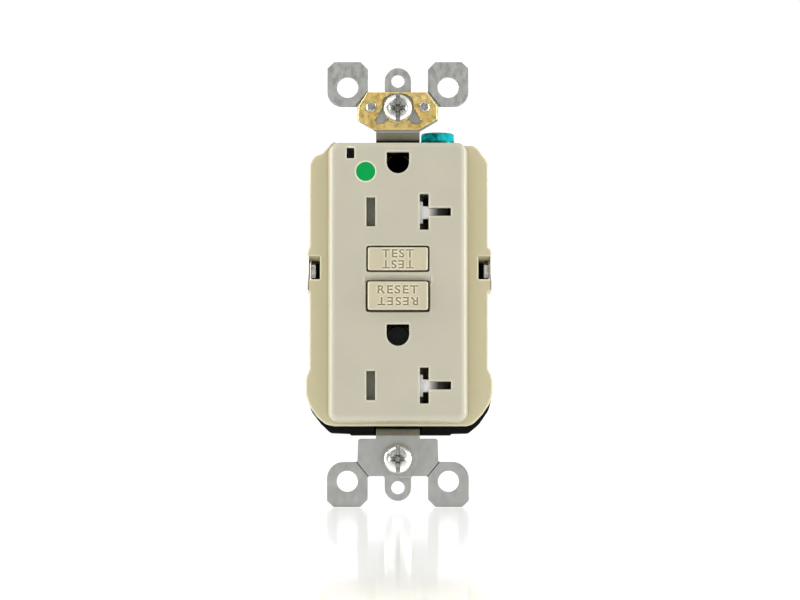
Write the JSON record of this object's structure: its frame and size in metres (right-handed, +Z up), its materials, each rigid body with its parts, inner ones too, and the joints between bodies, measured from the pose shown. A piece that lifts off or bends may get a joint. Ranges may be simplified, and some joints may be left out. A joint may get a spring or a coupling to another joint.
{
  "type": "ground-fault duplex receptacle",
  "caption": "Wall receptacle with ground-fault protection: two shuttered outlets, test and reset buttons, an eared mounting strap and a deep housing with side terminals.",
  "frame": {"origin": "on the plane of the ears' rear faces, midway between the two device screws", "axes": "+Z up along the strap towards the end with the ground clip, +X to the right seen from the front, +Y into the wall; the face looks along -Y"},
  "size_m": [0.0444, 0.0381, 0.106],
  "materials": {
    "cover": "fine satin moulded thermoplastic, light almond",
    "button": "satin moulded thermoplastic",
    "black": "satin black moulded thermoplastic",
    "green": "flat printed green",
    "lens": "dark clear lens over an unlit lamp",
    "shutter": "white moulded thermoplastic",
    "zinc": "zinc plated pressed steel, fine grain",
    "bright": "bright zinc plated steel",
    "brass": "pressed brass, lightly oxidised",
    "teal": "green dyed zinc plating",
    "copper": "enamelled copper wire",
    "board": "green solder mask on glass fibre",
    "grey": "grey moulded thermoplastic",
    "blue": "dipped epoxy",
    "ferrite": "taped ferrite core",
    "nylon": "natural nylon"
  },
  "bodies": {
    "base": {"front_cover": "cover", "status_lens": "lens", "hospital_dot": "green", "mounting_strap": "zinc", "ground_clip": "brass", "clip_rivet_left": "bright", "clip_rivet_right": "bright", "top_screw_washer": "bright", "bottom_screw_washer": "bright", "back_housing": "black", "side_tab_left": "bright", "side_tab_right": "bright", "mid_insulator": "nylon", "hot_contact_strip": "brass", "neutral_contact_strip": "brass", "upper_ground_contact": "brass", "lower_ground_contact": "brass", "reset_spring": "bright", "test_blade": "brass", "upper_shutter_frame": "nylon", "lower_shutter_frame": "nylon", "upper_shutter_spring": "bright", "lower_shutter_spring": "bright", "circuit_board": "board", "sense_transformers": "ferrite", "solenoid_bobbin": "nylon", "solenoid_coil": "copper", "solenoid_frame": "zinc", "plunger_spring": "bright", "surge_disc": "blue", "housing_screw_upper_left": "bright", "housing_screw_upper_right": "bright", "housing_screw_lower_left": "bright", "housing_screw_lower_right": "bright", "upper_hot_bracket": "brass", "lower_hot_bracket": "brass", "upper_neutral_bracket": "brass", "lower_neutral_bracket": "brass"},
    "test_button": {"test_button": "button"},
    "reset": {"reset_button": "button", "reset_pin": "bright"},
    "carriage": {"contact_carriage": "grey", "moving_hot_contact": "brass", "moving_neutral_contact": "brass"},
    "plunger": {"solenoid_plunger": "zinc", "latch_plate": "bright"},
    "upper_shutter": {"upper_shutter": "shutter"},
    "lower_shutter": {"lower_shutter": "shutter"},
    "top_screw": {"top_screw": "bright"},
    "bottom_screw": {"bottom_screw": "bright"},
    "ground_washer": {"ground_washer": "teal"},
    "ground_screw": {"ground_screw": "teal"},
    "upper_hot_clamp": {"upper_hot_clamp": "brass"},
    "upper_hot_screw": {"upper_hot_screw": "brass"},
    "lower_hot_clamp": {"lower_hot_clamp": "brass"},
    "lower_hot_screw": {"lower_hot_screw": "brass"},
    "upper_neutral_clamp": {"upper_neutral_clamp": "bright"},
    "upper_neutral_screw": {"upper_neutral_screw": "bright"},
    "lower_neutral_clamp": {"lower_neutral_clamp": "bright"},
    "lower_neutral_screw": {"lower_neutral_screw": "bright"}
  },
  "joints": [
    {"name": "test_press", "type": "slide", "parent": "base", "child": "test_button", "axis": [0, 1, 0], "range_m": [0, 0.0012], "stiffness_N_per_m": 400, "springref_m": -0.001, "deforming": ["test_blade"]},
    {"name": "reset_press", "type": "slide", "parent": "base", "child": "reset", "axis": [0, 1, 0], "range_m": [0, 0.0018], "stiffness_N_per_m": 500, "springref_m": -0.001, "deforming": ["reset_spring"]},
    {"name": "contacts_open", "type": "slide", "parent": "base", "child": "carriage", "axis": [0, 1, 0], "range_m": [0, 0.0012], "stiffness_N_per_m": 200, "springref_m": -0.001},
    {"name": "trip_pull", "type": "slide", "parent": "base", "child": "plunger", "axis": [0, 0, -1], "range_m": [0, 0.0012], "stiffness_N_per_m": 150, "springref_m": -0.002, "deforming": ["plunger_spring"]},
    {"name": "upper_shutter_slide", "type": "slide", "parent": "base", "child": "upper_shutter", "axis": [-1, 0, 0], "range_m": [0, 0.00245], "stiffness_N_per_m": 60, "springref_m": -0.001, "deforming": ["upper_shutter_spring"]},
    {"name": "lower_shutter_slide", "type": "slide", "parent": "base", "child": "lower_shutter", "axis": [-1, 0, 0], "range_m": [0, 0.00245], "stiffness_N_per_m": 60, "springref_m": -0.001, "deforming": ["lower_shutter_spring"]},
    {"name": "top_screw_turn", "type": "hinge", "parent": "base", "child": "top_screw", "pos_m": [0, 0, 0.04167], "axis": [0, -1, 0], "continuous": true},
    {"name": "bottom_screw_turn", "type": "hinge", "parent": "base", "child": "bottom_screw", "pos_m": [0, 0, -0.04167], "axis": [0, -1, 0], "continuous": true},
    {"name": "upper_hot_clamp_slide", "type": "slide", "parent": "base", "child": "upper_hot_clamp", "axis": [-1, 0, 0], "range_m": [0, 0.003]},
    {"name": "upper_hot_screw_turn", "type": "hinge", "parent": "upper_hot_clamp", "child": "upper_hot_screw", "pos_m": [-0.0178, 0.01, 0.015], "axis": [-1, 0, 0], "range_deg": [0, 1361]},
    {"name": "lower_hot_clamp_slide", "type": "slide", "parent": "base", "child": "lower_hot_clamp", "axis": [-1, 0, 0], "range_m": [0, 0.003]},
    {"name": "lower_hot_screw_turn", "type": "hinge", "parent": "lower_hot_clamp", "child": "lower_hot_screw", "pos_m": [-0.0178, 0.01, -0.015], "axis": [-1, 0, 0], "range_deg": [0, 1361]},
    {"name": "upper_neutral_clamp_slide", "type": "slide", "parent": "base", "child": "upper_neutral_clamp", "axis": [1, 0, 0], "range_m": [0, 0.003]},
    {"name": "upper_neutral_screw_turn", "type": "hinge", "parent": "upper_neutral_clamp", "child": "upper_neutral_screw", "pos_m": [0.0178, 0.01, 0.015], "axis": [1, 0, 0], "range_deg": [0, 1361]},
    {"name": "lower_neutral_clamp_slide", "type": "slide", "parent": "base", "child": "lower_neutral_clamp", "axis": [1, 0, 0], "range_m": [0, 0.003]},
    {"name": "lower_neutral_screw_turn", "type": "hinge", "parent": "lower_neutral_clamp", "child": "lower_neutral_screw", "pos_m": [0.0178, 0.01, -0.015], "axis": [1, 0, 0], "range_deg": [0, 1361]},
    {"name": "ground_washer_slide", "type": "slide", "parent": "base", "child": "ground_washer", "axis": [0, 0, 1], "range_m": [0, 0.003]},
    {"name": "ground_screw_turn", "type": "hinge", "parent": "ground_washer", "child": "ground_screw", "pos_m": [0.0095, 0.0056, 0.034], "axis": [0, 0, 1], "range_deg": [0, 1361]}
  ],
  "couplings": [
    {"joint": "upper_hot_screw_turn", "follows": "upper_hot_clamp_slide", "rad_per_m": 7915.8},
    {"joint": "lower_hot_screw_turn", "follows": "lower_hot_clamp_slide", "rad_per_m": 7915.8},
    {"joint": "upper_neutral_screw_turn", "follows": "upper_neutral_clamp_slide", "rad_per_m": 7915.8},
    {"joint": "lower_neutral_screw_turn", "follows": "lower_neutral_clamp_slide", "rad_per_m": 7915.8},
    {"joint": "ground_screw_turn", "follows": "ground_washer_slide", "rad_per_m": 7915.8}
  ]
}
